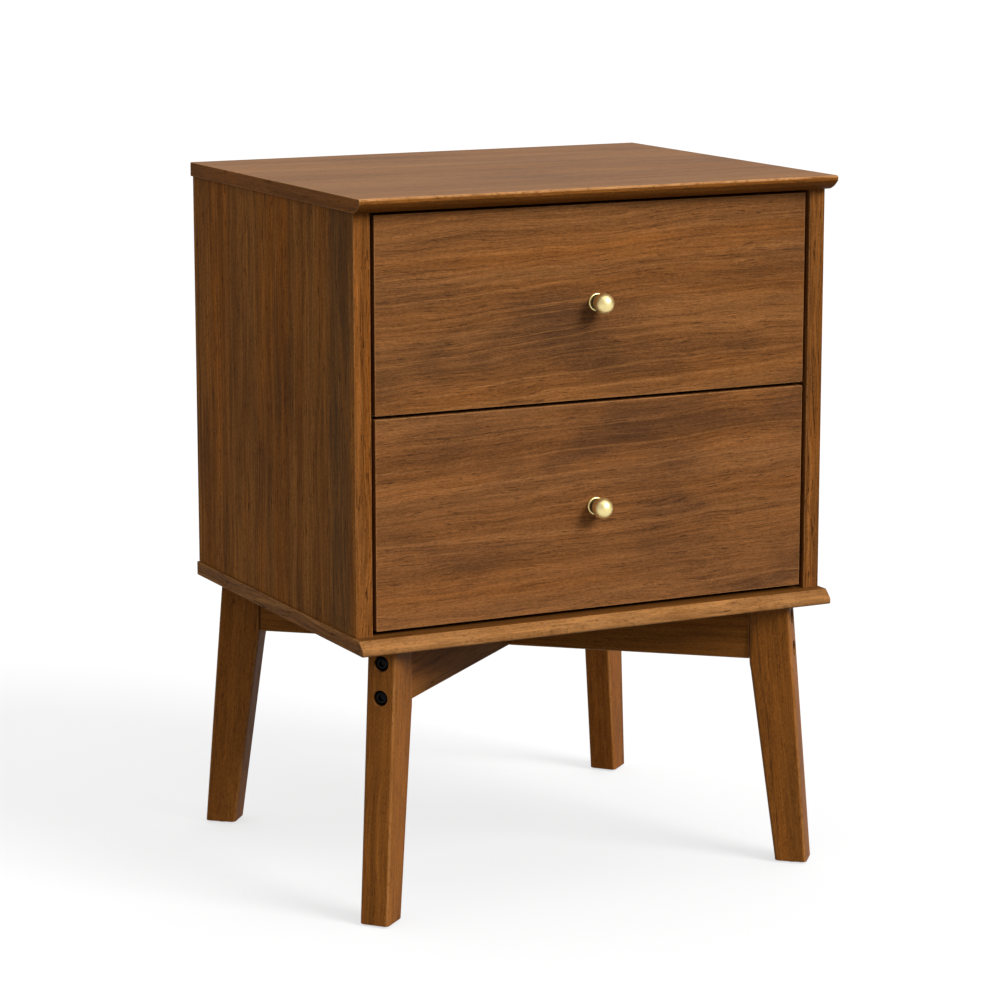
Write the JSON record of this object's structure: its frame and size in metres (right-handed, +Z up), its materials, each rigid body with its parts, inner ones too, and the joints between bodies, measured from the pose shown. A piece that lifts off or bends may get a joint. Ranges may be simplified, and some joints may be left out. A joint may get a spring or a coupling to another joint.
{
  "type": "nightstand",
  "caption": "Small bedside table with stacked drawers, ball knobs, bevelled top and bottom panels and splayed legs on a crossed-rail base.",
  "frame": {"origin": "on the floor, under the centre of the overall envelope", "axes": "+X to the right seen from the front, -Y the way the drawers open, +Z up"},
  "size_m": [0.4684, 0.4013, 0.635],
  "materials": {
    "stained_wood": "satin walnut-brown stain",
    "stained_base_wood": "satin walnut-brown stain",
    "drawer_box_wood": "clear lacquered plywood",
    "drawer_bottom_board": "smooth board",
    "back_board": "matt stained board",
    "dowel_wood": "raw beech",
    "pale_brass": "satin",
    "black_steel": "gloss black oxide",
    "zinc_steel": "bright zinc plated",
    "felt": "felt"
  },
  "bodies": {
    "carcass": {"top_panel": "stained_wood", "bottom_panel": "stained_wood", "side_panel_left": "stained_wood", "side_panel_right": "stained_wood", "back_panel": "back_board", "divider_rail": "drawer_box_wood", "carcass_dowels": "dowel_wood", "cross_rail_first": "stained_base_wood", "cross_rail_second": "stained_base_wood", "leg_front_left": "stained_base_wood", "leg_front_right": "stained_base_wood", "leg_back_left": "stained_base_wood", "leg_back_right": "stained_base_wood", "leg_bolts": "black_steel", "barrel_nuts": "zinc_steel", "base_screws": "zinc_steel", "foot_pads": "felt", "upper_slide_outer_left": "zinc_steel", "upper_slide_outer_right": "zinc_steel", "lower_slide_outer_left": "zinc_steel", "lower_slide_outer_right": "zinc_steel"},
    "upper_drawer": {"upper_drawer_front": "stained_wood", "upper_box_side_left": "drawer_box_wood", "upper_box_side_right": "drawer_box_wood", "upper_box_front": "drawer_box_wood", "upper_box_back": "drawer_box_wood", "upper_box_bottom": "drawer_bottom_board", "upper_front_screws": "zinc_steel", "upper_knob": "pale_brass", "upper_knob_rosette": "pale_brass", "upper_knob_screw": "zinc_steel", "upper_slide_inner_left": "zinc_steel", "upper_slide_inner_right": "zinc_steel"},
    "upper_slide_middle": {"upper_slide_middle_left": "zinc_steel", "upper_slide_middle_right": "zinc_steel"},
    "lower_drawer": {"lower_drawer_front": "stained_wood", "lower_box_side_left": "drawer_box_wood", "lower_box_side_right": "drawer_box_wood", "lower_box_front": "drawer_box_wood", "lower_box_back": "drawer_box_wood", "lower_box_bottom": "drawer_bottom_board", "lower_front_screws": "zinc_steel", "lower_knob": "pale_brass", "lower_knob_rosette": "pale_brass", "lower_knob_screw": "zinc_steel", "lower_slide_inner_left": "zinc_steel", "lower_slide_inner_right": "zinc_steel"},
    "lower_slide_middle": {"lower_slide_middle_left": "zinc_steel", "lower_slide_middle_right": "zinc_steel"}
  },
  "joints": [
    {"name": "upper_drawer_slide", "type": "slide", "parent": "carcass", "child": "upper_drawer", "axis": [0, -1, 0], "range_m": [0, 0.25]},
    {"name": "upper_middle_slide", "type": "slide", "parent": "carcass", "child": "upper_slide_middle", "axis": [0, -1, 0], "range_m": [0, 0.125]},
    {"name": "lower_drawer_slide", "type": "slide", "parent": "carcass", "child": "lower_drawer", "axis": [0, -1, 0], "range_m": [0, 0.25]},
    {"name": "lower_middle_slide", "type": "slide", "parent": "carcass", "child": "lower_slide_middle", "axis": [0, -1, 0], "range_m": [0, 0.125]}
  ],
  "couplings": [
    {"joint": "upper_middle_slide", "follows": "upper_drawer_slide", "ratio": 0.5},
    {"joint": "lower_middle_slide", "follows": "lower_drawer_slide", "ratio": 0.5}
  ]
}
